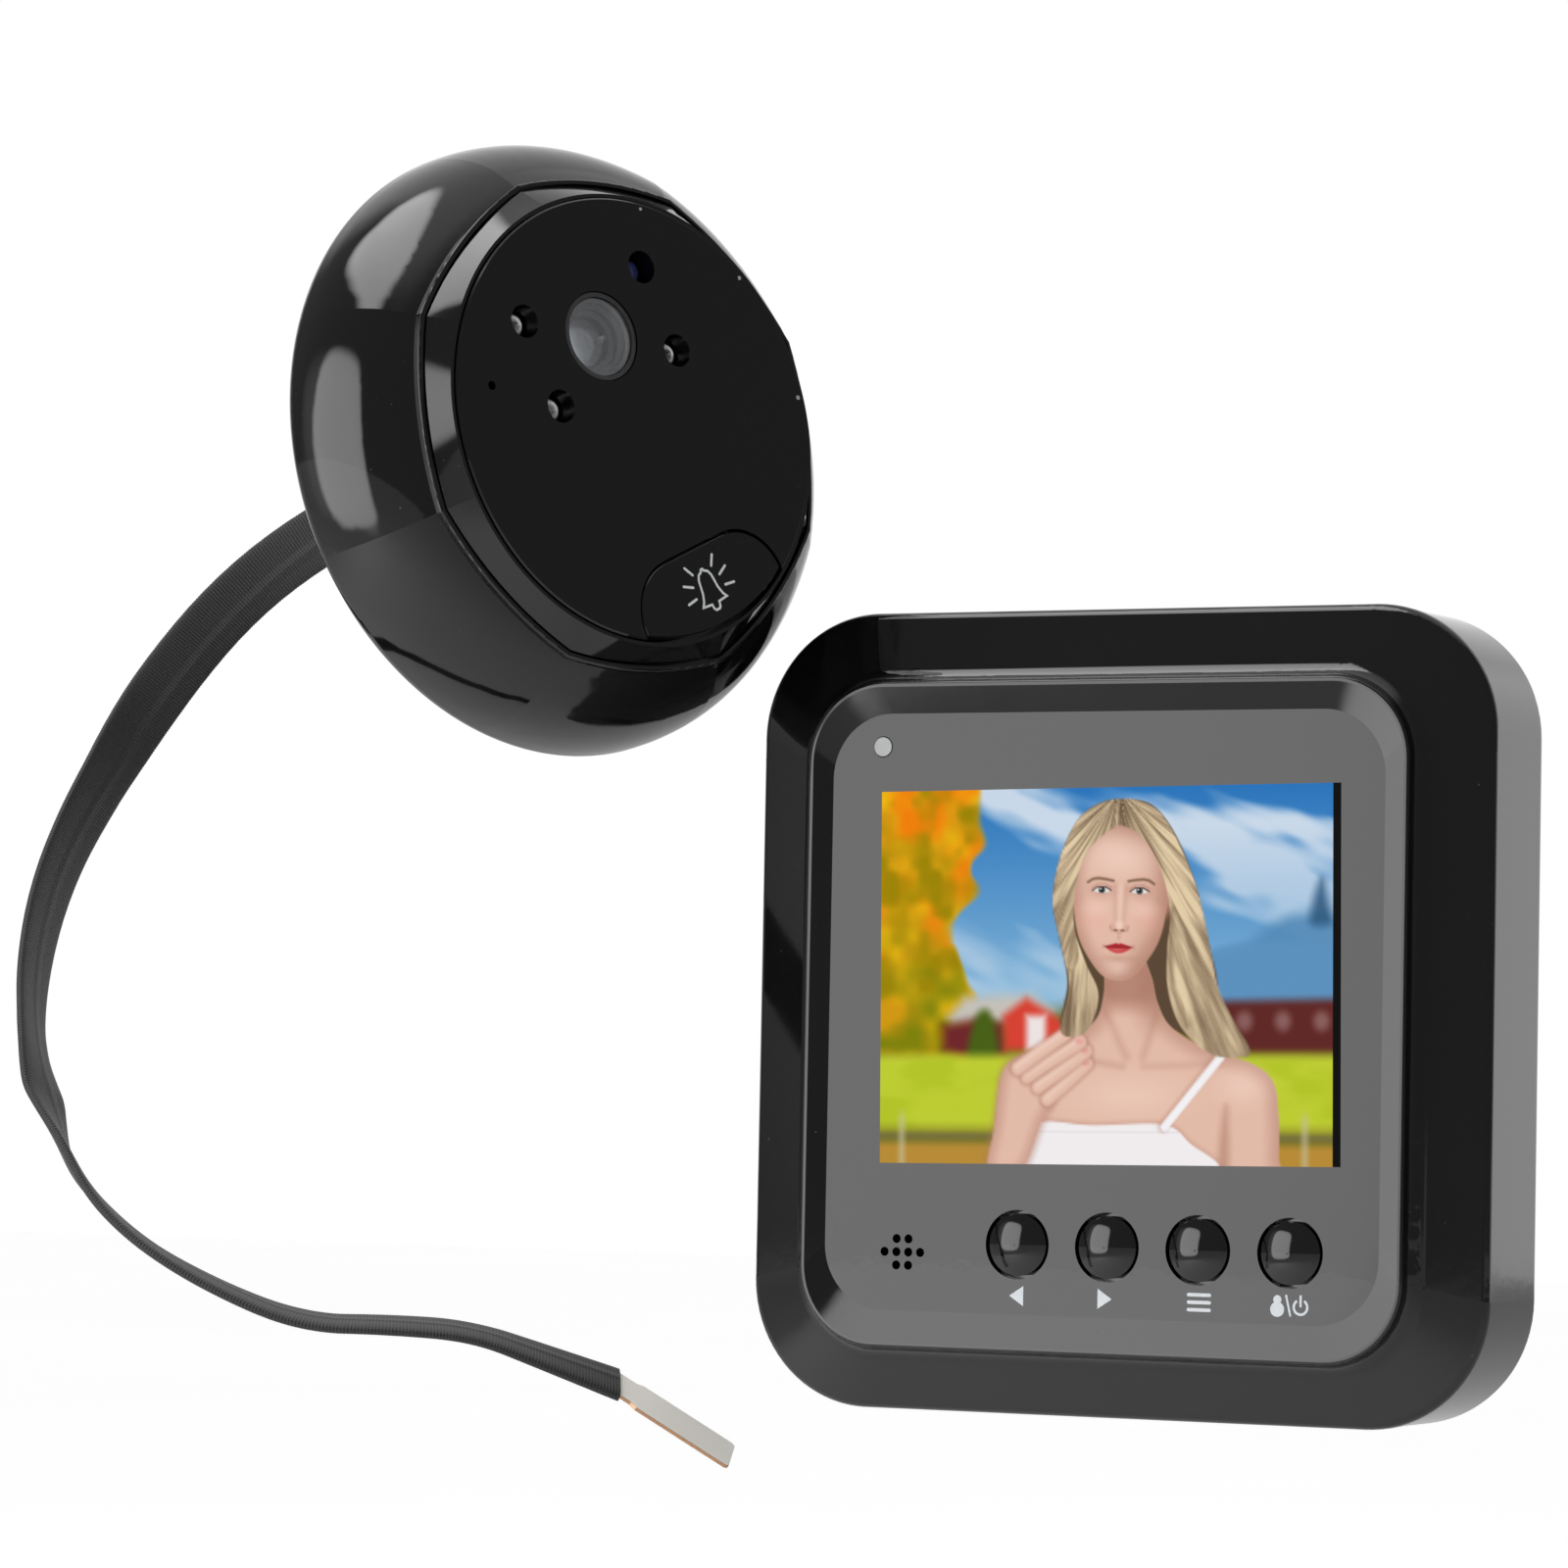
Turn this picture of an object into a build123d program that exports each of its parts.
from build123d import *
import math
import os

os.makedirs("parts", exist_ok=True)

# A peephole door camera: a battery monitor for the inner side of a door, a
# camera unit for the outer side, and the flat cable that joins them.
# The origin is the middle of the monitor's door face. +X is to the right of
# someone who looks at the screen, +Y runs into the door and +Z is up.
# The camera unit lies beside the monitor, turned to show its own front.

# Fits and cuts that all pieces share
overrun = 1.0
seat_gap = 0.2
running_gap = 0.3
trim_gap = 0.1
wall_rib = 1.2

# Cells, contacts and the sliding cover: the cells set the width of the monitor
cell_count = 3
cell_radius = 5.25
cell_length = 43.6
cell_nub_radius = 1.9
cell_nub_length = 0.9
cell_gap = 0.4
bay_side_gap = 0.55
bay_foot_margin = 3.6
contact_thickness = 0.4
contact_width = 8.0
spring_length = 2.6
spring_radius = 2.6
spring_tip_radius = 1.6
cover_thickness = 1.5
cover_set_back = 0.2
cover_side_lap = 2.15
cover_top_lap = 2.2
cover_end_inset = 0.3
tongue_reach = 0.9
tongue_thickness = 0.8
tongue_foot_inset = 4.7
groove_wall = 1.6
grip_count = 5
grip_width = 16.0
grip_height = 0.8
grip_depth = 0.5
grip_pitch = 1.8
grip_rise = 6.7

# Block behind the tray: it rests on the door and holds the cells
block_corner = 6.0
block_depth = 7.0
block_edge_radius = 0.6
hook_slot_width = 7.0
hook_slot_height = 2.4
hook_slot_spread = 38.0
hook_gap = 3.3
hook_top_margin = 4.8
window_width = 16.0
window_height = 7.0
window_gap = 1.8
socket_width = 10.0
socket_height = 4.2
socket_depth = 4.0
socket_slot_width = 7.4
socket_slot_height = 1.2
socket_slot_depth = 3.0

# Posts that carry the board and screws that close the casing
post_radius = 2.5
post_pin_radius = 1.0
post_pin_rise = 0.8
post_inset_x = 4.6
post_inset_z = 4.0
column_radius = 2.9
screw_inset_x = 7.3
screw_inset_z = 7.4
screw_radius = 1.0
screw_head_radius = 1.9
screw_head_height = 1.5
screw_seat_height = 6.0
screw_block_gap = 0.7
thread_cover = 1.0
bore_rise = 0.8

# Monitor casing and the raised ring round the screen panel
monitor_corner = 12.5
case_wall = 1.8
front_edge_radius = 0.9
back_edge_radius = 1.6
reveal = 0.1
bezel_depth = 2.3
frame_fall = 2.15
frame_edge_wall = 0.3
frame_side_width = 7.2
frame_end_width = 6.7
ring_side_width = 2.55
ring_top_width = 3.14
ring_bottom_width = 3.66
ring_corner = 8.0
ring_rise = 1.95
cove_lip = 0.35
cove_share = 1.3
crest_radius = 0.25
crest_land = 0.5

# Screen panel, with a hole for the light, holes for the keys and sound holes
panel_shift_x = -0.04
panel_shift_z = -0.24
panel_corner = 6.4
panel_thickness = 1.5
panel_set_back = 0.6
panel_ledge = 2.0
sound_hole_radius = 0.45
sound_hole_pitch = 1.3
sound_row_counts = (2, 4, 2)
light_radius = 0.95
light_inset = 5.45
light_edge_gap = 0.19
light_screen_gap = 0.64
light_foot = 2.2
light_foot_height = 0.8
light_proud = 0.1

# Keys of the monitor, in one row to the right of the loudspeaker
key_names = ("left", "right", "menu", "power")
key_first_inset = 21.04
key_last_inset = 9.09
key_edge_gap = 0.855
key_web = 2.79
key_gap = 0.35
key_flange_reach = 0.6
key_flange_thickness = 0.8
key_stem_radius = 1.5
key_stem_length = 0.4
key_dome_rise = 0.7
key_edge_drop = 0.1
key_travel = 0.5
switch_width = 4.2
switch_height = 2.0
plunger_radius = 1.0

# Screen, board and loudspeaker behind the panel
screen_shape_share = 0.75
glass_margin = 1.2
glass_thickness = 1.1
lcd_left_gap = 2.05
lcd_right_gap = 0.69
lcd_side_margin = 1.6
lcd_top_margin = 2.4
lcd_bottom_margin = 3.4
lcd_thickness = 3.1
lcd_corner = 0.8
tape_gap = 0.3
board_side_gap = 0.4
board_end_gap = 1.7
board_corner = 3.0
board_thickness = 1.2
chip_gap = 2.0
chip_height = 1.4
chip_width = 12.0
chip_length = 14.0
chip_spacing = 18.0
speaker_width = 12.0
speaker_height = 7.6
speaker_depth = 3.2
speaker_rise = 0.5
speaker_side_gap = 0.56
speaker_foot_gap = 0.48
speaker_screen_gap = 1.37

# Camera unit: where it lies and how it is turned, in degrees
unit_x = -56.82
unit_y = -40.02
unit_z = 54.19
unit_turn = 68.08
unit_rise = 9.006
unit_roll = 24.57

# Faceted ring and face disc: the disc sets the width of the camera unit
disc_radius = 22.15
disc_thickness = 1.8
disc_proud = 0.3
disc_fit = 0.15
disc_edge_chamfer = 0.15
disc_ledge = 2.15
facet_width = 1.25
facet_rise = 2.2
facet_top_land = 0.35
groove_width = 0.25
spigot_wall = 1.0
spigot_depth = 1.4

# Camera shell: a round rim that rises into an eight-sided crown
corner_count = 8
corner_reach = 0.75
crown_reach = 6.15
crown_sweep = 67.0
crown_over_board = 4.5
crown_section_shares = (0.0, 0.25, 0.5, 0.75, 1.0)
rim_level = 3.03
shell_foot = 0.8
back_reach = 6.05
back_sweep = 46.4
hollow_sweep = 90.0
lip_height = 0.8
lip_width = 0.5
lip_edge_radius = 0.22
shelf_drop = 0.4
shelf_thickness = 1.6

# Bell key at the foot of the disc
bell_width = 19.5
bell_height = 8.25
bell_shoulder = 5.6
bell_thickness = 1.2
bell_edge_inset = 0.35
bell_gap = 0.25
bell_travel = 0.5
bell_core_inset = 4.25
bell_core_height = 3.2
bell_flange_reach = 1.5
bell_flange_thickness = 0.7
bell_stem_radius = 1.5
bell_press_gap = 0.1
bell_edge_chamfer = 0.12
bell_switch_width = 6.0
bell_switch_height = 3.2
bell_plunger_height = 0.7

# Lens, lamps, sensor and microphone on the camera board
lens_drop = 13.41
lens_hole_radius = 4.5
lens_ring_radius = 4.4
lens_ring_shares = (0.9, 0.78, 0.66, 0.54)
lens_step_height = 0.55
lens_step_rise = 0.15
lens_front_drop = 0.12
lens_body_height = 2.2
lens_body_width = 9.4
front_glass_rise = 0.25
inner_glass_thickness = 1.3
inner_glass_rise = 0.7
lamp_reach_x = 8.41
lamp_reach_y = 4.45
lamp_hole_radius = 1.65
lamp_radius = 1.4
lamp_foot_radius = 1.9
lamp_foot_height = 0.7
lamp_drop = 1.3
mic_angle = 150.0
mic_hole_radius = 0.45
mic_radius = 2.0
mic_height = 2.2
boot_radius = 1.6
camera_board_gap = 0.8
camera_board_lift = 0.8
camera_board_thickness = 1.2

# Base plate of the camera unit, its inserts and its screws
plate_thickness = 2.0
plate_slot_length = 7.2
plate_slot_width = 1.8
gasket_inset = 0.4
gasket_screw_lap = 1.5
stand_radius = 2.0
stand_inset = 5.4
stand_count = 3
stand_start_angle = 90.0
insert_reach_x = 4.9
insert_reach_y = 5.2
insert_radius = 2.5
insert_bore_radius = 1.25
insert_length = 7.0
insert_boss_wall = 0.9
base_screw_count = 4
base_screw_start_angle = 45.0
base_boss_radius = 2.3
base_screw_radius = 1.0
base_head_radius = 2.0
base_head_height = 1.2
base_head_drop = 0.1
base_screw_length = 7.2
camera_socket_width = 3.8
camera_socket_length = 9.0
camera_socket_depth = 2.6

# Flat cable: its section, its plug tab and its route through the air
ribbon_width = 6.2
ribbon_thickness = 1.0
bend_share = 0.45
tab_width = 5.6
tab_thickness = 0.4
tab_length = 13.0
tab_direction = (0.713, 0.465, -0.525)
ribbon_route = [
    (-51.322, -42.232, 55.129),
    (-60.943, -38.361, 53.486),
    (-74.5, -33.5, 52.0),
    (-85.0, -34.0, 47.5),
    (-93.0, -36.5, 41.0),
    (-98.5, -41.0, 32.0),
    (-101.5, -46.5, 22.5),
    (-102.5, -52.5, 14.0),
    (-101.5, -58.0, 6.0),
    (-99.0, -63.0, -2.5),
    (-94.5, -67.0, -10.0),
    (-89.0, -69.5, -17.5),
    (-82.0, -70.0, -23.5),
    (-74.0, -68.0, -28.0),
    (-65.5, -64.5, -31.5),
    (-58.0, -60.5, -31.5),
    (-51.5, -56.0, -32.0),
    (-45.5, -52.0, -34.5),
    (-40.0, -47.5, -37.0),
]

# Widths of the monitor, from the cells outwards and then in to the picture
bay_width = cell_length + cell_nub_length + spring_length + 2 * contact_thickness + seat_gap
cover_width = bay_width + 2 * cover_side_lap
block_width = cover_width + 2 * (running_gap + tongue_reach + groove_wall)
screw_spread_x = block_width + 2 * (screw_block_gap + running_gap + screw_head_radius)
monitor_width = screw_spread_x + 2 * screw_inset_x
ring_width = monitor_width - 2 * frame_side_width
panel_width = ring_width - 2 * ring_side_width
lcd_width = panel_width - 2 * panel_ledge - lcd_left_gap - lcd_right_gap
screen_width = lcd_width - 2 * lcd_side_margin
panel_left = panel_shift_x - panel_width / 2
screen_x = panel_shift_x + (lcd_left_gap - lcd_right_gap) / 2
sound_x = panel_left + panel_ledge + speaker_side_gap + speaker_width / 2
light_x = panel_left + light_inset
key_pitch = (panel_width - key_first_inset - key_last_inset) / (len(key_names) - 1)
key_xs = [panel_left + key_first_inset + index * key_pitch for index in range(len(key_names))]
key_hole_radius = (key_pitch - key_web) / 2
key_cap_radius = key_hole_radius - key_gap
key_flange_radius = key_hole_radius + key_flange_reach
board_width = screw_spread_x - 2 * (column_radius + board_side_gap)
post_spread_x = board_width - 2 * post_inset_x

# Heights of the monitor, from the picture outwards
screen_height = screen_width * screen_shape_share
lcd_height = screen_height + lcd_top_margin + lcd_bottom_margin
panel_top_margin = panel_ledge + light_edge_gap + light_foot + light_screen_gap + lcd_top_margin
panel_bottom_margin = (
    panel_ledge + speaker_foot_gap + speaker_height + speaker_screen_gap + lcd_bottom_margin
)
panel_height = panel_top_margin + screen_height + panel_bottom_margin
panel_top = panel_shift_z + panel_height / 2
panel_foot = panel_shift_z - panel_height / 2
ring_height = panel_height + ring_top_width + ring_bottom_width
ring_z = panel_shift_z + (ring_top_width - ring_bottom_width) / 2
monitor_height = ring_height + 2 * frame_end_width
screen_z = panel_shift_z + (panel_bottom_margin - panel_top_margin) / 2
sound_z = panel_foot + panel_ledge + speaker_foot_gap + speaker_height / 2 - speaker_rise
light_z = panel_top - panel_ledge - light_edge_gap - light_foot / 2
key_row_z = panel_foot + panel_ledge + key_edge_gap + key_flange_radius
screw_spread_z = monitor_height - 2 * screw_inset_z
board_height = monitor_height - 2 * (reveal + case_wall + board_end_gap)
post_spread_z = board_height - 2 * post_inset_z
panel_middle = (panel_shift_x, panel_shift_z)
lcd_middle = (screen_x, screen_z + (lcd_top_margin - lcd_bottom_margin) / 2)

# Heights of the block, from its foot to its top
cell_pitch = 2 * cell_radius + cell_gap
bay_height = (cell_count - 1) * cell_pitch + 2 * (cell_radius + bay_side_gap)
cover_shoulder = cover_top_lap + running_gap + wall_rib
window_rise = bay_foot_margin + bay_height + cover_shoulder + window_gap
hook_slot_rise = window_rise + window_height + hook_gap
block_height = hook_slot_rise + hook_slot_height + hook_top_margin
block_foot = -block_height / 2
bay_middle_z = block_foot + bay_foot_margin + bay_height / 2
cover_top_z = bay_middle_z + bay_height / 2 + cover_top_lap
cover_foot_z = block_foot + cover_end_inset
cover_height = cover_top_z - cover_foot_z
cover_middle_z = (cover_top_z + cover_foot_z) / 2
tongue_foot_z = cover_foot_z + tongue_foot_inset
grip_z = cover_foot_z + grip_rise
window_z = block_foot + window_rise + window_height / 2
hook_slot_z = block_foot + hook_slot_rise + hook_slot_height / 2

# Levels of the monitor, measured from the door face towards the viewer
cover_inner = cover_set_back + cover_thickness
recess_depth = cover_inner + running_gap
cell_level = recess_depth + cell_radius
bay_floor = cell_level + cell_radius + trim_gap
tray_floor = block_depth + case_wall
board_back = bay_floor + wall_rib + chip_gap + chip_height
board_front = board_back + board_thickness
lcd_back = board_front + tape_gap
glass_back = lcd_back + lcd_thickness
glass_front = glass_back + glass_thickness
panel_back = glass_front + seat_gap
panel_front = panel_back + panel_thickness
crest_level = panel_front + panel_set_back
ring_foot_level = crest_level - ring_rise
frame_edge_level = ring_foot_level - frame_fall
parting_level = frame_edge_level - bezel_depth
face_level = frame_edge_level - frame_edge_wall
bore_level = face_level + bore_rise
cove_radius = cove_share * (ring_rise - cove_lip)

# Planes and axes of the two units
door = Plane.XZ
turn = math.radians(unit_turn)
rise = math.radians(unit_rise)
roll = math.radians(unit_roll)
facing = Vector(math.cos(rise) * math.sin(turn), -math.cos(rise) * math.cos(turn), math.sin(rise))
level_right = Vector(math.cos(turn), math.sin(turn), 0)
level_up = facing.cross(level_right)
unit = Plane(
    origin=(unit_x, unit_y, unit_z),
    x_dir=level_right * math.cos(roll) + level_up * math.sin(roll),
    z_dir=facing,
)


def cut_plane(base, x=0, y=0):
    """Plane through a point of a face: local x to the right, local y out of the face."""
    return Plane(
        origin=base.from_local_coords((x, y, 0)), x_dir=base.x_dir, z_dir=-base.y_dir
    )


def turning_axis(base, x=0, y=0):
    """Axis that stands on a face at one point."""
    return Axis(base.from_local_coords((x, y, 0)), base.z_dir)


def polar_point(radius, angle):
    """Point of a face at a radius and at an angle in degrees from its local x."""
    return (radius * math.cos(math.radians(angle)), radius * math.sin(math.radians(angle)))


def crown_wire_points(corner_radius, side_radius):
    """Start, middle and end of each bowed side, a corner pointing straight up."""
    step = 360 / corner_count
    sides = []
    for index in range(corner_count):
        start = 90 + index * step
        sides.append(
            (
                polar_point(corner_radius, start),
                polar_point(side_radius, start + step / 2),
                polar_point(corner_radius, start + step),
            )
        )
    return sides


# Front bezel: frame that falls away to its outer edge, raised ring with its cove, slope to the panel
with BuildPart() as front_bezel:
    with BuildSketch(door.offset(parting_level)):
        RectangleRounded(monitor_width, monitor_height, monitor_corner)
    extrude(amount=frame_edge_level - parting_level)
    with BuildSketch(door.offset(frame_edge_level)):
        RectangleRounded(monitor_width, monitor_height, monitor_corner)
    with BuildSketch(door.offset(ring_foot_level)):
        with Locations((0, ring_z)):
            RectangleRounded(ring_width, ring_height, ring_corner)
    loft(ruled=True)
    outer_edges = front_bezel.edges().group_by(Axis.Y)[2]
    fillet(outer_edges, front_edge_radius)
    with BuildSketch(door.offset(ring_foot_level)):
        with Locations((0, ring_z)):
            RectangleRounded(ring_width, ring_height, ring_corner)
    extrude(amount=ring_rise)
    foot_edges = front_bezel.edges().group_by(Axis.Y)[2]
    fillet(foot_edges, cove_radius)
    fillet(front_bezel.faces().sort_by(Axis.Y)[0].edges(), crest_radius)
    with BuildSketch(door.offset(crest_level)):
        with Locations((0, ring_z)):
            RectangleRounded(
                ring_width - 2 * crest_land, ring_height - 2 * crest_land, ring_corner - crest_land
            )
    with BuildSketch(door.offset(panel_front)):
        with Locations(panel_middle):
            RectangleRounded(panel_width, panel_height, panel_corner)
    loft(mode=Mode.SUBTRACT)
    with BuildSketch(door.offset(panel_back)):
        with Locations(panel_middle):
            RectangleRounded(
                panel_width + 2 * trim_gap, panel_height + 2 * trim_gap, panel_corner + trim_gap
            )
    extrude(amount=panel_thickness, mode=Mode.SUBTRACT)
    with BuildSketch(door.offset(face_level - overrun)):
        with Locations(panel_middle):
            RectangleRounded(
                panel_width - 2 * panel_ledge,
                panel_height - 2 * panel_ledge,
                panel_corner - panel_ledge,
            )
    extrude(amount=panel_back - face_level + 2 * overrun, mode=Mode.SUBTRACT)
    with BuildSketch(door.offset(parting_level)):
        RectangleRounded(
            monitor_width - 2 * case_wall, monitor_height - 2 * case_wall, monitor_corner - case_wall
        )
    extrude(amount=face_level - parting_level, mode=Mode.SUBTRACT)
    with BuildSketch(door.offset(parting_level)):
        with GridLocations(screw_spread_x, screw_spread_z, 2, 2):
            Circle(column_radius)
    extrude(amount=face_level - parting_level)
    with BuildSketch(door.offset(parting_level)):
        with GridLocations(screw_spread_x, screw_spread_z, 2, 2):
            Circle(screw_radius + trim_gap)
    extrude(amount=bore_level - parting_level, mode=Mode.SUBTRACT)
front_bezel.part.label = "front_bezel"
export_step(front_bezel.part, "parts/front_bezel.step")

# Screen panel: one flat plate with its holes
with BuildPart() as screen_panel:
    with BuildSketch(door.offset(panel_back)):
        with Locations(panel_middle):
            RectangleRounded(panel_width, panel_height, panel_corner)
        with Locations(*[(x, key_row_z) for x in key_xs]):
            Circle(key_hole_radius, mode=Mode.SUBTRACT)
        with Locations((light_x, light_z)):
            Circle(light_radius + trim_gap, mode=Mode.SUBTRACT)
        for row, count in enumerate(sound_row_counts):
            row_z = sound_z + (row - len(sound_row_counts) // 2) * sound_hole_pitch
            with Locations((sound_x, row_z)):
                with GridLocations(sound_hole_pitch, sound_hole_pitch, count, 1):
                    Circle(sound_hole_radius, mode=Mode.SUBTRACT)
    extrude(amount=panel_thickness)
screen_panel.part.label = "screen_panel"
export_step(screen_panel.part, "parts/screen_panel.step")

# Rear housing: tray, block for the cells, columns, posts and cable window
with BuildPart() as rear_housing:
    with BuildSketch(door.offset(block_depth)):
        RectangleRounded(
            monitor_width - 2 * reveal, monitor_height - 2 * reveal, monitor_corner - reveal
        )
    extrude(amount=parting_level - block_depth)
    fillet(rear_housing.faces().sort_by(Axis.Y)[-1].edges(), back_edge_radius)
    with BuildSketch(door):
        RectangleRounded(block_width, block_height, block_corner)
    extrude(amount=block_depth)
    fillet(rear_housing.faces().sort_by(Axis.Y)[-1].edges(), block_edge_radius)
    with BuildSketch(door.offset(tray_floor)):
        RectangleRounded(
            monitor_width - 2 * (reveal + case_wall),
            monitor_height - 2 * (reveal + case_wall),
            monitor_corner - reveal - case_wall,
        )
    extrude(amount=parting_level - tray_floor, mode=Mode.SUBTRACT)
    with BuildSketch(door.offset(case_wall)):
        RectangleRounded(
            block_width - 2 * case_wall, block_height - 2 * case_wall, block_corner - case_wall
        )
    extrude(amount=block_depth, mode=Mode.SUBTRACT)
    # Floor under the sliding cover and the walls of the bay behind it
    with BuildSketch(door.offset(case_wall / 2)):
        with Locations((0, cover_top_z + running_gap + wall_rib)):
            Rectangle(
                block_width - case_wall,
                cover_height + running_gap + wall_rib + cover_end_inset - case_wall / 2,
                align=(Align.CENTER, Align.MAX),
            )
        RectangleRounded(
            block_width - case_wall, block_height - case_wall, block_corner - case_wall / 2,
            mode=Mode.INTERSECT,
        )
    extrude(amount=recess_depth + wall_rib - case_wall / 2)
    with BuildSketch(door.offset(recess_depth)):
        with Locations((0, bay_middle_z)):
            Rectangle(bay_width + 2 * wall_rib, bay_height + 2 * wall_rib)
    extrude(amount=bay_floor + wall_rib - recess_depth)
    with BuildSketch(door.offset(-overrun)):
        with Locations((0, bay_middle_z)):
            Rectangle(bay_width, bay_height)
    extrude(amount=bay_floor + overrun, mode=Mode.SUBTRACT)
    # Recess of the cover, open at its foot, with a groove on each side
    with BuildSketch(door.offset(-overrun)):
        with Locations((0, cover_top_z + running_gap)):
            Rectangle(
                cover_width + 2 * running_gap,
                cover_height + 2 * running_gap + overrun,
                align=(Align.CENTER, Align.MAX),
            )
    extrude(amount=overrun + recess_depth, mode=Mode.SUBTRACT)
    with BuildSketch(door.offset(cover_inner - tongue_thickness - running_gap)):
        with Locations((0, cover_top_z + running_gap)):
            Rectangle(
                cover_width + 2 * (tongue_reach + running_gap),
                cover_height + 2 * running_gap + overrun,
                align=(Align.CENTER, Align.MAX),
            )
    extrude(amount=tongue_thickness + 2 * running_gap, mode=Mode.SUBTRACT)
    # Window for the cable's plug and two slots for the hooks of a door bracket
    with BuildSketch(door.offset(-overrun)):
        with Locations((0, window_z)):
            Rectangle(window_width, window_height)
        with Locations((0, hook_slot_z)):
            with GridLocations(hook_slot_spread, hook_slot_height, 2, 1):
                SlotOverall(hook_slot_width, hook_slot_height)
    extrude(amount=2 * overrun + case_wall, mode=Mode.SUBTRACT)
    # Screw columns and the posts that carry the board
    with BuildSketch(door.offset(block_depth)):
        with GridLocations(screw_spread_x, screw_spread_z, 2, 2):
            Circle(column_radius)
    extrude(amount=parting_level - block_depth)
    with BuildSketch(door.offset(block_depth)):
        with GridLocations(screw_spread_x, screw_spread_z, 2, 2):
            Circle(screw_radius + trim_gap)
    extrude(amount=parting_level - block_depth, mode=Mode.SUBTRACT)
    with BuildSketch(door.offset(block_depth)):
        with GridLocations(screw_spread_x, screw_spread_z, 2, 2):
            Circle(screw_head_radius + running_gap)
    extrude(amount=screw_seat_height, mode=Mode.SUBTRACT)
    with BuildSketch(door.offset(block_depth + case_wall / 2)):
        with GridLocations(post_spread_x, post_spread_z, 2, 2):
            Circle(post_radius)
    extrude(amount=board_back - block_depth - case_wall / 2)
    with BuildSketch(door.offset(board_back)):
        with GridLocations(post_spread_x, post_spread_z, 2, 2):
            Circle(post_pin_radius)
    extrude(amount=board_thickness + post_pin_rise)
rear_housing.part.label = "rear_housing"
export_step(rear_housing.part, "parts/rear_housing.step")

# Board with its chips on the door side
with BuildPart() as main_board:
    with BuildSketch(door.offset(board_back)):
        RectangleRounded(board_width, board_height, board_corner)
        with GridLocations(post_spread_x, post_spread_z, 2, 2):
            Circle(post_pin_radius + trim_gap, mode=Mode.SUBTRACT)
    extrude(amount=board_thickness)
    with BuildSketch(door.offset(board_back - chip_height)):
        with Locations((0, bay_middle_z)):
            with GridLocations(chip_spacing, chip_spacing, 2, 1):
                Rectangle(chip_width, chip_length)
    extrude(amount=chip_height)
main_board.part.label = "main_board"
export_step(main_board.part, "parts/main_board.step")

# Screen unit and the glass in front of it
with BuildPart() as lcd_module:
    with BuildSketch(door.offset(lcd_back)):
        with Locations(lcd_middle):
            RectangleRounded(lcd_width, lcd_height, lcd_corner)
    extrude(amount=lcd_thickness)
lcd_module.part.label = "lcd_module"
export_step(lcd_module.part, "parts/lcd_module.step")

with BuildPart() as display_screen:
    with BuildSketch(door.offset(glass_back)):
        with Locations((screen_x, screen_z)):
            Rectangle(screen_width + 2 * glass_margin, screen_height + 2 * glass_margin)
    extrude(amount=glass_thickness)
display_screen.part.label = "display_screen"
export_step(display_screen.part, "parts/display_screen.step")

# Keys: each is turned about its own axis, with a flange behind the panel
key_flange_top = panel_back - seat_gap
key_flange_foot = key_flange_top - key_flange_thickness
key_stem_foot = key_flange_foot - key_stem_length
key_edge_level = panel_front - key_edge_drop
key_dome_level = panel_front + key_dome_rise
for key_name, key_x in zip(key_names, key_xs):
    with BuildPart() as monitor_key:
        with BuildSketch(cut_plane(door, key_x, key_row_z)):
            with BuildLine():
                Polyline(
                    (0, key_dome_level),
                    (0, key_stem_foot),
                    (key_stem_radius, key_stem_foot),
                    (key_stem_radius, key_flange_foot),
                    (key_flange_radius, key_flange_foot),
                    (key_flange_radius, key_flange_top),
                    (key_cap_radius, key_flange_top),
                    (key_cap_radius, key_edge_level),
                )
                TangentArc((0, key_dome_level), (key_cap_radius, key_edge_level), tangent=(1, 0))
            make_face()
        revolve(axis=turning_axis(door, key_x, key_row_z))
    monitor_key.part.label = f"button_{key_name}"
    export_step(monitor_key.part, f"parts/button_{key_name}.step")

# Small switches under the keys, standing on the board
plunger_top = key_stem_foot - key_travel - trim_gap
with BuildPart() as tact_switches:
    with BuildSketch(door.offset(board_front)):
        with Locations(*[(x, key_row_z) for x in key_xs]):
            Rectangle(switch_width, switch_width)
    extrude(amount=switch_height)
    with BuildSketch(door.offset(board_front + switch_height)):
        with Locations(*[(x, key_row_z) for x in key_xs]):
            Circle(plunger_radius)
    extrude(amount=plunger_top - board_front - switch_height)
tact_switches.part.label = "tact_switches"
export_step(tact_switches.part, "parts/tact_switches.step")

# Oval loudspeaker on the board, behind the sound holes
with BuildPart() as speaker:
    with BuildSketch(door.offset(board_front)):
        with Locations((sound_x, sound_z + speaker_rise)):
            SlotOverall(speaker_width, speaker_height)
    extrude(amount=speaker_depth)
    with BuildSketch(door.offset(board_front + speaker_depth)):
        with Locations((sound_x, sound_z + speaker_rise)):
            SlotOverall(speaker_width - 2 * wall_rib, speaker_height - 2 * wall_rib)
    extrude(amount=-chip_height, mode=Mode.SUBTRACT)
speaker.part.label = "speaker"
export_step(speaker.part, "parts/speaker.step")

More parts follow.
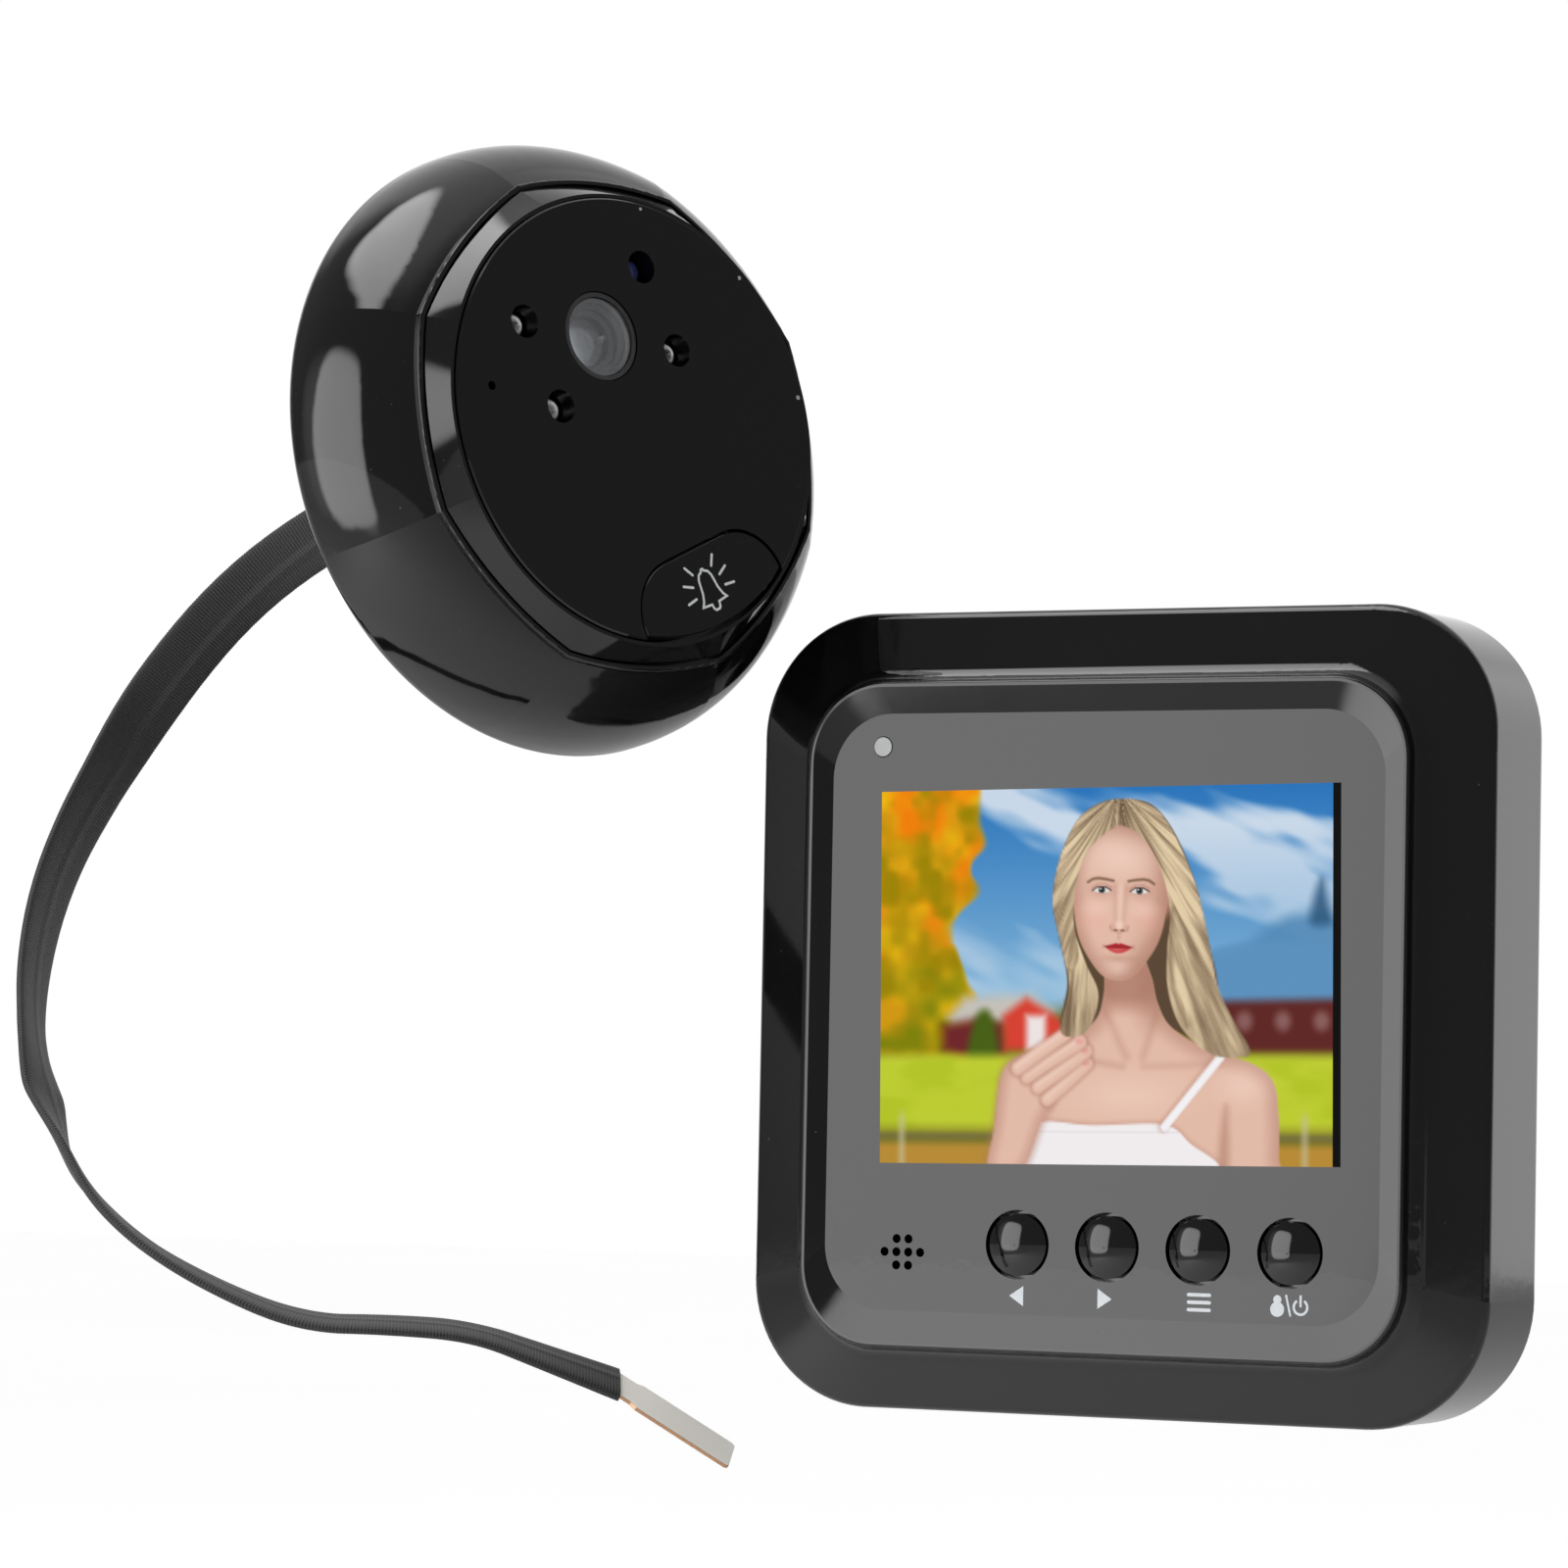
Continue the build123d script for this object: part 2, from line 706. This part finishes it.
# Charge light: a small lamp on the board with its light pipe
with BuildPart() as status_light:
    with BuildSketch(door.offset(board_front)):
        with Locations((light_x, light_z)):
            Rectangle(light_foot, light_foot)
    extrude(amount=light_foot_height)
    with BuildSketch(door.offset(board_front + light_foot_height)):
        with Locations((light_x, light_z)):
            Circle(light_radius)
    extrude(amount=panel_front + light_proud - board_front - light_foot_height)
status_light.part.label = "status_light"
export_step(status_light.part, "parts/status_light.step")

# Socket for the cable's plug tab, on the door side of the board
with BuildPart() as cable_socket:
    with BuildSketch(door.offset(board_back - socket_depth)):
        with Locations((0, window_z)):
            Rectangle(socket_width, socket_height)
    extrude(amount=socket_depth)
    with BuildSketch(door.offset(board_back - socket_depth)):
        with Locations((0, window_z)):
            Rectangle(socket_slot_width, socket_slot_height)
    extrude(amount=socket_slot_depth, mode=Mode.SUBTRACT)
cable_socket.part.label = "cable_socket"
export_step(cable_socket.part, "parts/cable_socket.step")

# Cells, lying across the bay with their ends in turn
cell_zs = [bay_middle_z + (index - (cell_count - 1) / 2) * cell_pitch for index in range(cell_count)]
cell_start = (spring_length - cell_length - cell_nub_length) / 2
with BuildPart() as batteries:
    for index, cell_z in enumerate(cell_zs):
        side = 1 if index % 2 == 0 else -1
        with BuildSketch(Plane.YZ.offset(side * cell_start)):
            with Locations((-cell_level, cell_z)):
                Circle(cell_radius)
        extrude(amount=side * cell_length)
        with BuildSketch(Plane.YZ.offset(side * (cell_start + cell_length))):
            with Locations((-cell_level, cell_z)):
                Circle(cell_nub_radius)
        extrude(amount=side * cell_nub_length)
batteries.part.label = "batteries"
export_step(batteries.part, "parts/batteries.step")

# Contacts: a plate at each end of each cell, with a spring on one of the two
contact_x = bay_width / 2
with BuildPart() as battery_contacts:
    for index, cell_z in enumerate(cell_zs):
        side = 1 if index % 2 == 0 else -1
        for end in (-1, 1):
            with BuildSketch(Plane.YZ.offset(end * contact_x)):
                with Locations((-cell_level, cell_z)):
                    Rectangle(contact_width, contact_width)
            extrude(amount=-end * contact_thickness)
        spring_root = -side * (contact_x - contact_thickness)
        with BuildSketch(Plane.YZ.offset(spring_root)):
            with Locations((-cell_level, cell_z)):
                Circle(spring_radius)
        with BuildSketch(Plane.YZ.offset(spring_root + side * spring_length)):
            with Locations((-cell_level, cell_z)):
                Circle(spring_tip_radius)
        loft()
battery_contacts.part.label = "battery_contacts"
export_step(battery_contacts.part, "parts/battery_contacts.step")

# Sliding cover of the cells, with a tongue on each side and a ribbed grip
with BuildPart() as battery_door:
    with BuildSketch(door.offset(cover_set_back)):
        with Locations((0, cover_middle_z)):
            Rectangle(cover_width, cover_height)
        RectangleRounded(
            block_width - 2 * cover_end_inset,
            block_height - 2 * cover_end_inset,
            block_corner - cover_end_inset,
            mode=Mode.INTERSECT,
        )
    extrude(amount=cover_thickness)
    with BuildSketch(door.offset(cover_inner - tongue_thickness)):
        with Locations((0, cover_top_z)):
            Rectangle(
                cover_width + 2 * tongue_reach,
                cover_top_z - tongue_foot_z,
                align=(Align.CENTER, Align.MAX),
            )
    extrude(amount=tongue_thickness)
    with BuildSketch(door.offset(cover_set_back)):
        with Locations((0, grip_z)):
            with GridLocations(grip_width, grip_pitch, 1, grip_count):
                Rectangle(grip_width, grip_height)
    extrude(amount=grip_depth, mode=Mode.SUBTRACT)
battery_door.part.label = "battery_door"
export_step(battery_door.part, "parts/battery_door.step")

# Screws that close the monitor
screw_seat_level = block_depth + screw_seat_height
screw_tip_level = bore_level - thread_cover
with BuildPart() as housing_screws:
    with BuildSketch(door.offset(screw_seat_level - screw_head_height)):
        with GridLocations(screw_spread_x, screw_spread_z, 2, 2):
            Circle(screw_head_radius)
    extrude(amount=screw_head_height)
    with BuildSketch(door.offset(screw_seat_level)):
        with GridLocations(screw_spread_x, screw_spread_z, 2, 2):
            Circle(screw_radius)
    extrude(amount=screw_tip_level - screw_seat_level)
housing_screws.part.label = "housing_screws"
export_step(housing_screws.part, "parts/housing_screws.step")

# Radii of the camera unit, from the disc outwards
recess_radius = disc_radius + disc_fit
bezel_bore_radius = disc_radius - disc_ledge
ledge_radius = bezel_bore_radius + spigot_wall
facet_top_radius = recess_radius + facet_top_land
facet_inset = lip_width + groove_width
crown_side_radius = facet_top_radius + facet_width + facet_inset
crown_corner_radius = crown_side_radius + corner_reach
rim_radius = crown_side_radius + crown_reach
cavity_radius = rim_radius - back_reach * (1 - math.cos(math.radians(back_sweep))) - wall_rib
crown_centre = rim_radius - crown_reach / (1 - math.cos(math.radians(crown_sweep)))
base_screw_circle = ledge_radius + seat_gap + base_boss_radius
camera_board_radius = base_screw_circle - base_boss_radius - camera_board_gap
stand_circle = camera_board_radius - stand_inset
plate_radius = cavity_radius - seat_gap
gasket_radius = plate_radius - gasket_inset
gasket_inner_radius = base_screw_circle - base_head_radius - gasket_screw_lap

# Levels of the camera unit, measured from its door face along its axis
plate_inner = shell_foot + plate_thickness
camera_board_level = shell_foot + insert_length + camera_board_lift
camera_board_front = camera_board_level + camera_board_thickness
crown_level = camera_board_front + crown_over_board
shelf_level = crown_level - shelf_drop
lip_level = crown_level + lip_height
facet_top_level = lip_level + facet_rise
disc_level = facet_top_level + disc_proud
disc_back = disc_level - disc_thickness

# Places on the face of the camera unit and on its base plate
lens_y = disc_radius - lens_drop
lamp_high_y = lens_y + lamp_reach_y
lamp_low_y = lens_y - lamp_reach_y
bell_top_y = bell_height - disc_radius
mic_place = polar_point(bezel_bore_radius - mic_radius - trim_gap, mic_angle)
insert_places = ((-insert_reach_x, insert_reach_y), (insert_reach_x, -insert_reach_y))
unit_axis = turning_axis(unit)


def crown_radius(end_radius, sweep):
    """Radius of the crown where its rise has swept so many degrees of its curve."""
    share = (1 - math.cos(math.radians(sweep))) / (1 - math.cos(math.radians(crown_sweep)))
    return rim_radius - (rim_radius - end_radius) * share


def crown_height(sweep):
    """Height of the crown where its rise has swept so many degrees of its curve."""
    share = math.sin(math.radians(sweep)) / math.sin(math.radians(crown_sweep))
    return rim_level + (crown_level - rim_level) * share


# Camera shell: the round rim rises through five sections into a bowed octagon
with BuildPart() as camera_shell:
    for section_share in crown_section_shares:
        sweep_angle = section_share * crown_sweep
        with BuildSketch(unit.offset(crown_height(sweep_angle))):
            with BuildLine():
                for start, middle, end in crown_wire_points(
                    crown_radius(crown_corner_radius, sweep_angle),
                    crown_radius(crown_side_radius, sweep_angle),
                ):
                    ThreePointArc(start, middle, end)
            make_face()
    loft()
    with BuildSketch(unit.offset(crown_level)):
        with BuildLine():
            for start, middle, end in crown_wire_points(crown_corner_radius, crown_side_radius):
                ThreePointArc(start, middle, end)
        make_face()
    extrude(amount=lip_height)
    fillet(camera_shell.faces().sort_by(unit_axis)[-1].edges(), lip_edge_radius)
    # Rounded back of the rim
    back_rounding = (rim_level - shell_foot) / math.sin(math.radians(back_sweep))
    with BuildSketch(cut_plane(unit)):
        with BuildLine():
            back_curve = EllipticalCenterArc(
                (rim_radius - back_reach, rim_level),
                back_reach,
                back_rounding,
                start_angle=-back_sweep,
                arc_size=back_sweep,
            )
            Polyline(back_curve @ 1, (0, rim_level), (0, shell_foot), back_curve @ 0)
        make_face()
    revolve(axis=unit_axis)
    # Hollow inside, open at the back
    with BuildSketch(cut_plane(unit)):
        with BuildLine():
            hollow_curve = EllipticalCenterArc(
                (crown_centre, rim_level),
                cavity_radius - crown_centre,
                shelf_level - shelf_thickness - rim_level,
                start_angle=0,
                arc_size=hollow_sweep,
            )
            Polyline(
                hollow_curve @ 1,
                (0, shelf_level - shelf_thickness),
                (0, shell_foot - overrun),
                (cavity_radius, shell_foot - overrun),
                hollow_curve @ 0,
            )
        make_face()
    revolve(axis=unit_axis, mode=Mode.SUBTRACT)
    # Seat of the faceted ring and the bore for its spigot
    with BuildSketch(unit.offset(shelf_level)):
        with BuildLine():
            for start, middle, end in crown_wire_points(
                crown_corner_radius - lip_width, crown_side_radius - lip_width
            ):
                ThreePointArc(start, middle, end)
        make_face()
    extrude(amount=lip_level - shelf_level + overrun, mode=Mode.SUBTRACT)
    with BuildSketch(unit.offset(shelf_level)):
        Circle(ledge_radius + trim_gap)
    extrude(amount=-shelf_thickness - overrun, mode=Mode.SUBTRACT)
    # Screw bosses that hang from the shelf down to the base plate
    with BuildSketch(unit.offset(plate_inner)):
        with PolarLocations(base_screw_circle, base_screw_count, start_angle=base_screw_start_angle):
            Circle(base_boss_radius)
    extrude(amount=shelf_level - shelf_thickness / 2 - plate_inner)
    with BuildSketch(unit.offset(plate_inner)):
        with PolarLocations(base_screw_circle, base_screw_count, start_angle=base_screw_start_angle):
            Circle(base_screw_radius + trim_gap)
    extrude(amount=base_screw_length, mode=Mode.SUBTRACT)
camera_shell.part.label = "camera_shell"
export_step(camera_shell.part, "parts/camera_shell.step")

# Faceted ring: eight bowed facets that close in on the round seat of the disc
with BuildPart() as camera_bezel:
    with BuildSketch(unit.offset(shelf_level)):
        with BuildLine():
            for start, middle, end in crown_wire_points(
                crown_corner_radius - facet_inset, crown_side_radius - facet_inset
            ):
                ThreePointArc(start, middle, end)
        make_face()
    extrude(amount=lip_level - shelf_level)
    with BuildSketch(unit.offset(lip_level)):
        with BuildLine():
            for start, middle, end in crown_wire_points(
                crown_corner_radius - facet_inset, crown_side_radius - facet_inset
            ):
                ThreePointArc(start, middle, end)
        make_face()
    with BuildSketch(unit.offset(facet_top_level)):
        with BuildLine():
            for start, middle, end in crown_wire_points(facet_top_radius, facet_top_radius):
                ThreePointArc(start, middle, end)
        make_face()
    loft(ruled=True)
    with BuildSketch(unit.offset(shelf_level - spigot_depth)):
        Circle(ledge_radius)
    extrude(amount=spigot_depth)
    with BuildSketch(unit.offset(shelf_level - spigot_depth - overrun)):
        Circle(bezel_bore_radius)
    extrude(amount=facet_top_level - shelf_level + spigot_depth + 2 * overrun, mode=Mode.SUBTRACT)
    with BuildSketch(unit.offset(disc_back)):
        Circle(recess_radius)
    extrude(amount=facet_top_level - disc_back + overrun, mode=Mode.SUBTRACT)
camera_bezel.part.label = "camera_bezel"
export_step(camera_bezel.part, "parts/camera_bezel.step")

# Face disc with the lens hole, the lamp windows and the notch of the bell key
with BuildPart() as face_disc:
    with BuildSketch(unit.offset(disc_back)):
        Circle(disc_radius)
    extrude(amount=disc_thickness)
    chamfer(face_disc.faces().sort_by(unit_axis)[-1].edges(), disc_edge_chamfer)
    with BuildSketch(unit.offset(disc_back - overrun)) as disc_openings:
        with Locations((0, bell_top_y + bell_gap)):
            Rectangle(
                bell_width + 2 * bell_gap, disc_radius, align=(Align.CENTER, Align.MAX)
            )
        fillet(disc_openings.vertices().group_by(Axis.Y)[-1], bell_shoulder + bell_gap)
        with Locations((0, lens_y)):
            Circle(lens_hole_radius)
        with Locations((0, lens_y)):
            with GridLocations(2 * lamp_reach_x, 2 * lamp_reach_y, 2, 2):
                Circle(lamp_hole_radius)
        with Locations(mic_place):
            Circle(mic_hole_radius)
    extrude(amount=disc_thickness + 2 * overrun, mode=Mode.SUBTRACT)
face_disc.part.label = "face_disc"
export_step(face_disc.part, "parts/face_disc.step")

# Bell key: a cap flush with the disc, a flange behind the disc and a stem
bell_back = disc_level - bell_thickness
bell_core_width = bell_width - 2 * bell_core_inset
bell_flange_width = bell_core_width + 2 * bell_flange_reach
bell_flange_front = disc_back - running_gap
bell_flange_back = bell_flange_front - bell_flange_thickness
bell_core_top_y = bell_top_y - bell_gap
bell_stem_y = bell_core_top_y - bell_core_height / 2
bell_plunger_top = camera_board_front + bell_switch_height + bell_plunger_height
bell_stem_foot = bell_plunger_top + bell_travel + bell_press_gap
with BuildPart() as bell_button:
    with BuildSketch(unit.offset(bell_back)) as bell_face:
        with Locations((0, bell_top_y)):
            Rectangle(bell_width, disc_radius, align=(Align.CENTER, Align.MAX))
        fillet(bell_face.vertices().group_by(Axis.Y)[-1], bell_shoulder)
        Circle(disc_radius - bell_edge_inset, mode=Mode.INTERSECT)
    extrude(amount=bell_thickness)
    chamfer(bell_button.faces().sort_by(unit_axis)[-1].edges(), bell_edge_chamfer)
    with BuildSketch(unit.offset(bell_flange_back)):
        with Locations((0, bell_core_top_y)):
            Rectangle(bell_core_width, bell_core_height, align=(Align.CENTER, Align.MAX))
    extrude(amount=bell_back - bell_flange_back)
    with BuildSketch(unit.offset(bell_flange_back)):
        with Locations((0, bell_top_y + bell_flange_reach)):
            Rectangle(
                bell_flange_width,
                bell_flange_reach + bell_core_height + bell_gap,
                align=(Align.CENTER, Align.MAX),
            )
    extrude(amount=bell_flange_thickness)
    with BuildSketch(unit.offset(bell_stem_foot)):
        with Locations((0, bell_stem_y)):
            Circle(bell_stem_radius)
    extrude(amount=bell_back - bell_stem_foot)
bell_button.part.label = "bell_button"
export_step(bell_button.part, "parts/bell_button.step")

# Switch under the bell key
with BuildPart() as bell_switch:
    with BuildSketch(unit.offset(camera_board_front)):
        with Locations((0, bell_stem_y)):
            Rectangle(bell_switch_width, bell_switch_width)
    extrude(amount=bell_switch_height)
    with BuildSketch(unit.offset(camera_board_front + bell_switch_height)):
        with Locations((0, bell_stem_y)):
            Circle(bell_stem_radius)
    extrude(amount=bell_plunger_height)
bell_switch.part.label = "bell_switch"
export_step(bell_switch.part, "parts/bell_switch.step")

# Image sensor housing on the board
lens_seat = camera_board_front + lens_body_height
with BuildPart() as camera_module:
    with BuildSketch(unit.offset(camera_board_front)):
        with Locations((0, lens_y)):
            Rectangle(lens_body_width, lens_body_width)
    extrude(amount=lens_body_height)
camera_module.part.label = "camera_module"
export_step(camera_module.part, "parts/camera_module.step")

# Lens barrel: a tube whose inside narrows in steps towards the small lens
lens_front = disc_level - lens_front_drop
step_points = [(lens_ring_radius, lens_seat), (lens_ring_radius, lens_front)]
step_level = lens_front
for ring_share in lens_ring_shares:
    step_radius = ring_share * lens_ring_radius
    step_points.append((step_radius, step_level))
    step_level = step_level - lens_step_height
    step_points.append((step_radius, step_level))
    step_level = step_level - lens_step_rise
inner_bore_radius = lens_ring_shares[-1] * lens_ring_radius
step_points.append((inner_bore_radius, lens_seat))
with BuildPart() as lens_barrel:
    with BuildSketch(cut_plane(unit, 0, lens_y)):
        with BuildLine():
            Polyline(*step_points, close=True)
        make_face()
    revolve(axis=turning_axis(unit, 0, lens_y))
lens_barrel.part.label = "lens_barrel"
export_step(lens_barrel.part, "parts/lens_barrel.step")

# Glass of the lens: a shallow front window and a small domed lens behind it
front_glass_radius = lens_ring_shares[0] * lens_ring_radius - trim_gap
inner_glass_radius = inner_bore_radius - trim_gap
inner_glass_level = step_level - inner_glass_thickness
with BuildPart() as lens_glass:
    with BuildSketch(cut_plane(unit, 0, lens_y)):
        with BuildLine():
            Polyline(
                (0, lens_front),
                (0, lens_front - lens_step_height),
                (front_glass_radius, lens_front - lens_step_height),
                (front_glass_radius, lens_front - front_glass_rise),
            )
            TangentArc(
                (0, lens_front), (front_glass_radius, lens_front - front_glass_rise), tangent=(1, 0)
            )
        make_face()
        with BuildLine():
            Polyline(
                (0, inner_glass_level + inner_glass_thickness + inner_glass_rise),
                (0, inner_glass_level),
                (inner_glass_radius, inner_glass_level),
                (inner_glass_radius, inner_glass_level + inner_glass_thickness),
            )
            TangentArc(
                (0, inner_glass_level + inner_glass_thickness + inner_glass_rise),
                (inner_glass_radius, inner_glass_level + inner_glass_thickness),
                tangent=(1, 0),
            )
        make_face()
    revolve(axis=turning_axis(unit, 0, lens_y))
lens_glass.part.label = "lens_glass"
export_step(lens_glass.part, "parts/lens_glass.step")

# Infrared lamps and the light sensor: domed bulbs on short feet
lamp_top = disc_level - lamp_drop
lamp_places = {
    "ir_leds": (
        (-lamp_reach_x, lamp_high_y),
        (-lamp_reach_x, lamp_low_y),
        (lamp_reach_x, lamp_low_y),
    ),
    "light_sensor": ((lamp_reach_x, lamp_high_y),),
}
for lamp_name, places in lamp_places.items():
    with BuildPart() as lamp:
        for place_x, place_y in places:
            with BuildSketch(cut_plane(unit, place_x, place_y)):
                with BuildLine():
                    Polyline(
                        (0, lamp_top),
                        (0, camera_board_front),
                        (lamp_foot_radius, camera_board_front),
                        (lamp_foot_radius, camera_board_front + lamp_foot_height),
                        (lamp_radius, camera_board_front + lamp_foot_height),
                        (lamp_radius, lamp_top - lamp_radius),
                    )
                    TangentArc((0, lamp_top), (lamp_radius, lamp_top - lamp_radius), tangent=(1, 0))
                make_face()
            revolve(axis=turning_axis(unit, place_x, place_y))
    lamp.part.label = lamp_name
    export_step(lamp.part, f"parts/{lamp_name}.step")

# Microphone capsule and its rubber boot behind the disc
with BuildPart() as microphone:
    with BuildSketch(unit.offset(camera_board_front)):
        with Locations(mic_place):
            Circle(mic_radius)
    extrude(amount=mic_height)
    with BuildSketch(unit.offset(camera_board_front + mic_height)):
        with Locations(mic_place):
            Circle(boot_radius)
            Circle(mic_hole_radius, mode=Mode.SUBTRACT)
    extrude(amount=disc_back - trim_gap - camera_board_front - mic_height)
microphone.part.label = "microphone"
export_step(microphone.part, "parts/microphone.step")

# Board of the camera unit
with BuildPart() as camera_board:
    with BuildSketch(unit.offset(camera_board_level)):
        Circle(camera_board_radius)
    extrude(amount=camera_board_thickness)
camera_board.part.label = "camera_board"
export_step(camera_board.part, "parts/camera_board.step")

# Socket on the board's door side, where the flat cable is soldered in
with BuildPart() as camera_cable_socket:
    with BuildSketch(unit.offset(camera_board_level)):
        Rectangle(camera_socket_width, camera_socket_length)
    extrude(amount=-camera_socket_depth)
camera_cable_socket.part.label = "camera_cable_socket"
export_step(camera_cable_socket.part, "parts/camera_cable_socket.step")

# Base plate: stands for the board, bosses for the inserts, slot for the cable
with BuildPart() as base_plate:
    with BuildSketch(unit.offset(shell_foot)):
        Circle(plate_radius)
    extrude(amount=plate_thickness)
    with BuildSketch(unit.offset(plate_inner)):
        with PolarLocations(stand_circle, stand_count, start_angle=stand_start_angle):
            Circle(stand_radius)
    extrude(amount=camera_board_level - plate_inner)
    with BuildSketch(unit.offset(plate_inner)):
        with Locations(*insert_places):
            Circle(insert_radius + insert_boss_wall)
        Rectangle(
            camera_socket_width + 2 * seat_gap, camera_socket_length + 2 * seat_gap, mode=Mode.SUBTRACT
        )
    extrude(amount=shell_foot + insert_length - plate_inner)
    with BuildSketch(unit.offset(shell_foot)):
        with Locations(*insert_places):
            Circle(insert_radius)
        Rectangle(plate_slot_width, plate_slot_length)
    extrude(amount=insert_length, mode=Mode.SUBTRACT)
    with BuildSketch(unit.offset(shell_foot)):
        with PolarLocations(base_screw_circle, base_screw_count, start_angle=base_screw_start_angle):
            Circle(base_screw_radius + trim_gap)
    extrude(amount=plate_thickness, mode=Mode.SUBTRACT)
    with BuildSketch(unit.offset(shell_foot)):
        with PolarLocations(base_screw_circle, base_screw_count, start_angle=base_screw_start_angle):
            Circle(base_head_radius + trim_gap)
    extrude(amount=base_head_drop + base_head_height, mode=Mode.SUBTRACT)
base_plate.part.label = "base_plate"
export_step(base_plate.part, "parts/base_plate.step")

# Threaded brass inserts that the through-door screws go into
with BuildPart() as mount_posts:
    with BuildSketch(unit.offset(shell_foot)):
        with Locations(*insert_places):
            Circle(insert_radius)
            Circle(insert_bore_radius, mode=Mode.SUBTRACT)
    extrude(amount=insert_length)
mount_posts.part.label = "mount_posts"
export_step(mount_posts.part, "parts/mount_posts.step")

# Screws that hold the base plate to the shell
base_head_level = shell_foot + base_head_drop
with BuildPart() as base_screws:
    with BuildSketch(unit.offset(base_head_level)):
        with PolarLocations(base_screw_circle, base_screw_count, start_angle=base_screw_start_angle):
            Circle(base_head_radius)
    extrude(amount=base_head_height)
    with BuildSketch(unit.offset(base_head_level + base_head_height)):
        with PolarLocations(base_screw_circle, base_screw_count, start_angle=base_screw_start_angle):
            Circle(base_screw_radius)
    extrude(amount=base_screw_length - base_head_height)
base_screws.part.label = "base_screws"
export_step(base_screws.part, "parts/base_screws.step")

# Foam gasket between the camera unit and the door
with BuildPart() as foam_gasket:
    with BuildSketch(unit):
        Circle(gasket_radius)
        Circle(gasket_inner_radius, mode=Mode.SUBTRACT)
    extrude(amount=shell_foot)
foam_gasket.part.label = "foam_gasket"
export_step(foam_gasket.part, "parts/foam_gasket.step")

# Flat cable: straight runs joined by tangent arcs, each as wide as its runs allow
route = [Vector(*point) for point in ribbon_route]
runs = [end - start for start, end in zip(route, route[1:])]
bend_radii = []
for before, after in zip(runs, runs[1:]):
    half_turn = math.radians(before.get_angle(after) / 2)
    bend_radii.append(bend_share * min(before.length, after.length) / math.tan(half_turn))
print("bend radii", [round(radius, 1) for radius in bend_radii])
with BuildPart() as ribbon_cable:
    with BuildLine() as ribbon_line:
        FilletPolyline(*route, radius=bend_radii)
    with BuildSketch(Plane(origin=route[0], x_dir=unit.y_dir, z_dir=runs[0])):
        Rectangle(ribbon_width, ribbon_thickness)
    sweep()
ribbon_length = sum(edge.length for edge in ribbon_line.edges())
print("ribbon length", round(ribbon_length, 2))
print("ribbon volume", round(ribbon_cable.part.volume, 2))
print("section times length", round(ribbon_width * ribbon_thickness * ribbon_length, 2))
ribbon_cable.part.label = "ribbon_cable"
export_step(ribbon_cable.part, "parts/ribbon_cable.step")

# Bare plug tab that sticks out of the cable's sleeve
end_face = ribbon_cable.faces().sort_by_distance(route[-1])[0]
width_edge = end_face.edges().sort_by(SortBy.LENGTH)[-1]
with BuildPart() as ribbon_tab:
    with BuildSketch(Plane(origin=route[-1], x_dir=width_edge % 0, z_dir=runs[-1])):
        Rectangle(tab_width, tab_thickness)
    extrude(amount=tab_length, dir=tab_direction)
ribbon_tab.part.label = "ribbon_tab"
export_step(ribbon_tab.part, "parts/ribbon_tab.step")
